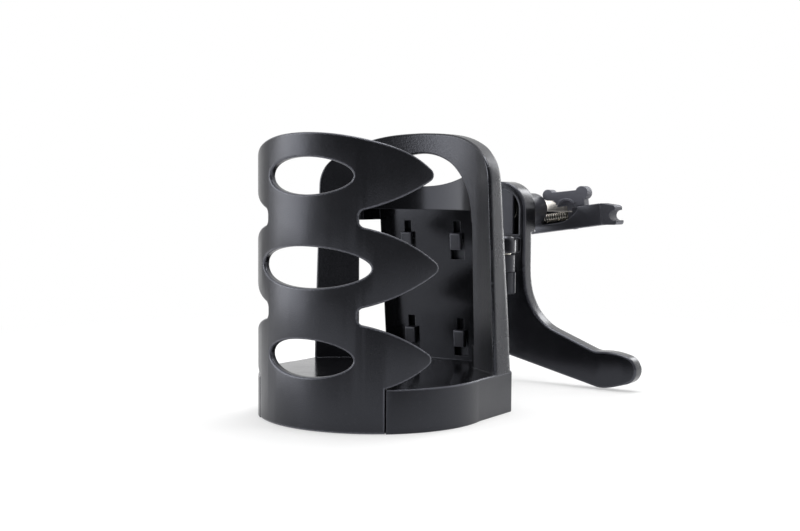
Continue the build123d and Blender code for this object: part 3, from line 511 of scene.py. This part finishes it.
# Plated sheet over the grip spring, and its lip
clip_plate(
    "spring_sheet",
    [
        level(2.4, 70.7), level(19.6, 70.7), level(19.6, 72.2), level(15.0, 73.6),
        level(11.5, 75.0), level(8.5, 75.9), level(3.2, 75.9), level(2.4, 75.1),
    ],
    131.65, 132.25, 0.15, plated, lean=0.2,
)
clip_plate(
    "spring_lip",
    [level(2.6, 70.85), level(19.2, 70.85), level(19.2, 71.3), level(2.6, 71.3)],
    125.6, 126.3, 0.12, plated,
)

# Dark wall behind the coil
clip_plate(
    "spring_wall",
    [(2.4, -8.2), (19.6, -8.2), level(19.6, 70.75), level(2.4, 70.75)],
    131.7, 132.6, 0.0, matte,
)

# Front of the jaw, with the rounded end of its window
clip_plate(
    "jaw_face",
    [
        (-1.5, -10.88), (31.85, -10.88), (31.85, -1.62), (21.3, -1.62), (21.0, -2.9),
        (20.2, -3.9), (18.9, -4.9), (17.5, -5.8), (16.0, -6.6), (14.4, -7.2),
        (12.4, -7.55), (9.5, -7.65), (-1.5, -7.65),
    ],
    124.85, 125.4, 0.3, jaw_black,
)


# Zones of the holder body

def inside_arch(place):
    """True inside the arch that frames the pocket and the lens window."""
    x, rise = abs(place.x) / MM, place.z / MM - arch_centre
    if rise > 0:
        return hypot(x, rise) < 24.64
    return x < 25.65 - (place.z / MM - floor_height) * 0.018


body = pieces["holder_body"].data
highlit_round = body.attributes["highlit_round"].data
zone_finish = {
    "arch": polished,
    "floor": floor_black,
    "base": satin,
    "side": side_black,
    "band": band_black,
    "round": edge_black,
}
zone_index = {"rim": 0}
for zone, material in zone_finish.items():
    zone_index[zone] = len(body.materials)
    body.materials.append(material)


def zone_of(face):
    """Names the zone of the holder body that a face lies in."""
    place, normal = face.center, face.normal
    height = place.z / MM
    if normal.z > 0.9 and abs(height - floor_height) < 0.5:
        return "floor"
    if height < floor_height:
        return "base"
    if place.y > 24 * MM and inside_arch(place) and normal.y < 0.3:
        return "band" if height > 72.6 else "arch"
    if abs(normal.x) > 0.9 and abs(place.x) > 36 * MM and normal.x * place.x > 0:
        return "side"
    return "round" if highlit_round[face.index].value > 0.5 else "rim"


for face in body.polygons:
    face.material_index = zone_index[zone_of(face)]
    # The frame's rounds are polished, and only the base's rounds keep the marked painted highlight
    if face.center.z > 15.4 * MM:
        highlit_round[face.index].value = 0.0


# Floor: a paper disc that fades into the white of the backdrop

def make_paper():
    """White paper, plain in the middle and as bright as the backdrop towards its rim."""
    material, tree, sheet, out = new_material("studio_paper")
    sheet.inputs["Roughness"].default_value = 0.7
    sheet.inputs["Specular IOR Level"].default_value = 0.1
    place = tree.nodes.new("ShaderNodeTexCoord").outputs["Object"]
    fibres = noise(tree, place, 60.0)
    shade = mix_color(tree, fibres, (0.88, 0.88, 0.88, 1.0), (0.92, 0.92, 0.92, 1.0))
    tree.links.new(shade, sheet.inputs["Base Color"])
    white = tree.nodes.new("ShaderNodeEmission")
    white.inputs["Strength"].default_value = 1.0
    reach = tree.nodes.new("ShaderNodeVectorMath")
    reach.operation = "LENGTH"
    tree.links.new(place, reach.inputs[0])
    fade = map_range(tree, reach.outputs["Value"], 0.12, 0.34, 0.45, 1.0)
    mix_shaders(tree, fade, sheet.outputs["BSDF"], white.outputs["Emission"], out)
    return material


disc = bmesh.new()
bmesh.ops.create_circle(disc, cap_ends=True, segments=96, radius=0.46)
floor = add_piece(disc, "floor", make_paper())
floor.location = (0.02, 0.05, -0.0001)


# Backdrop: white for the camera, softer for other rays and darker on the viewer's side
view_angle = radians(34.3371)
world = bpy.data.worlds.new("studio")
scene.world = world
world.use_nodes = True
tree = world.node_tree
tree.nodes.clear()
out = tree.nodes.new("ShaderNodeOutputWorld")
plain = tree.nodes.new("ShaderNodeBackground")
soft = tree.nodes.new("ShaderNodeBackground")
for background in (plain, soft):
    background.inputs["Color"].default_value = (1, 1, 1, 1)
plain.inputs["Strength"].default_value = 1.0
direction = tree.nodes.new("ShaderNodeTexCoord").outputs["Generated"]
facing = dot_product(tree, direction, (sin(view_angle), -cos(view_angle), 0.0))
room = map_range(tree, facing, -0.35, 0.7, 1.0, 0.14)
corner = dot_product(tree, direction, (-0.9966, 0.082, 0.0))
dim = map_range(tree, corner, 0.91, 0.99, 0.0, 0.55)
tree.links.new(math_node(tree, "SUBTRACT", room, dim, clamp=True), soft.inputs["Strength"])
seen = tree.nodes.new("ShaderNodeLightPath").outputs["Is Camera Ray"]
mix_shaders(tree, seen, soft.outputs["Background"], plain.outputs["Background"], out)


# Lamps

def softbox(name, place, aim, width, height, power):
    """A soft rectangular lamp that faces a point."""
    lamp = bpy.data.lights.new(name, "AREA")
    lamp.shape = "RECTANGLE"
    lamp.size = width
    lamp.size_y = height
    lamp.energy = power
    obj = bpy.data.objects.new(name, lamp)
    obj.location = place
    obj.rotation_euler = (Vector(aim) - Vector(place)).to_track_quat("-Z", "Y").to_euler()
    scene.collection.objects.link(obj)


softbox("top_box", (0.1, 0.15, 1.1), (0, 0.03, 0.05), 0.72, 0.72, 9.0)
softbox("left_box", (-0.725, -0.56, 0.24), (0, 0, 0.08), 0.66, 0.80, 6.4)
softbox("right_box", (0.68, 0.6, 0.34), (0, 0.03, 0.06), 0.5, 0.6, 0.2)
softbox("rim_box", (0.10, 0.895, 0.3), (0.03, 0.02, 0.06), 0.18, 0.7, 1.8)


# Camera at the photograph's place, measured in radii of the shell
shell_radius = 0.041
picture_width, focal_length = 800.0, 1230.056
sensor_width = 36.0
distance = 10.7285 * shell_radius
eye_height = 1.9585 * shell_radius
pan = view_angle + radians(-1.2439)
pitch = radians(3.5467)
roll = radians(0.3596)
eye = Vector((distance * sin(view_angle), -distance * cos(view_angle), eye_height))
forward = Vector((-sin(pan) * cos(pitch), cos(pan) * cos(pitch), -sin(pitch)))
right = Vector((cos(pan), sin(pan), 0.0))
up = right.cross(forward)
right, up = right * cos(roll) + up * sin(roll), up * cos(roll) - right * sin(roll)
camera_data = bpy.data.cameras.new("photo_camera")
camera_data.sensor_fit = "HORIZONTAL"
camera_data.sensor_width = sensor_width
camera_data.lens = focal_length * sensor_width / picture_width
camera_data.clip_start = 0.01
camera = bpy.data.objects.new("photo_camera", camera_data)
axes = Matrix((right, up, -forward)).transposed().to_4x4()
camera.matrix_world = Matrix.Translation(eye) @ axes
scene.collection.objects.link(camera)
scene.camera = camera
